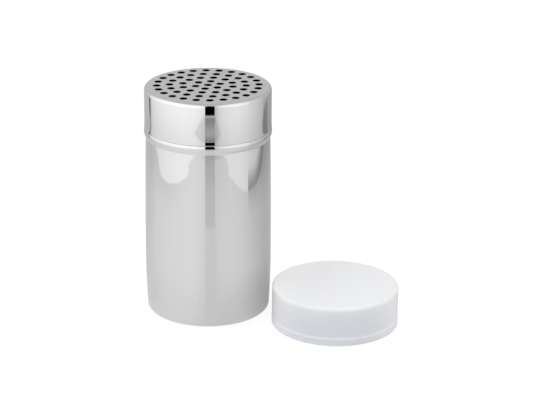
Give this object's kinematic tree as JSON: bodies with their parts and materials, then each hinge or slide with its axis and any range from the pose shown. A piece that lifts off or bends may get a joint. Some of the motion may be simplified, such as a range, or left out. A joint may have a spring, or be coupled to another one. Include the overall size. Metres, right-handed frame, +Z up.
{
  "type": "spice shaker with perforated lid and cap",
  "caption": "Cylindrical stainless steel spice shaker with a push-on lid perforated with round holes, and a translucent plastic cap standing beside it.",
  "frame": {"origin": "centre of the can's flat base, on the surface that the shaker stands on", "axes": "+Z up along the can's axis, from base to perforated lid; +X from the can's axis towards the axis of the cap that stands beside it"},
  "size_m": [0.145, 0.0706, 0.13],
  "materials": {
    "can_steel": "polished stainless steel with a fine, soft grain",
    "lid_steel": "mirror-polished stainless steel skirt with a satin perforated top",
    "cap_plastic": "thin translucent white moulding, satin"
  },
  "bodies": {
    "can": {"shaker_body": "can_steel"},
    "lid": {"perforated_lid": "lid_steel"},
    "cap": {"plastic_cap": "cap_plastic"}
  },
  "joints": [
    {"name": "lid_pull", "type": "slide", "parent": "can", "child": "lid", "axis": [0, 0, 1], "range_m": [0, 0.045]},
    {"name": "cap_lift", "type": "slide", "parent": "can", "child": "cap", "axis": [0, 0, 1], "range_m": [0, 0.14]}
  ]
}
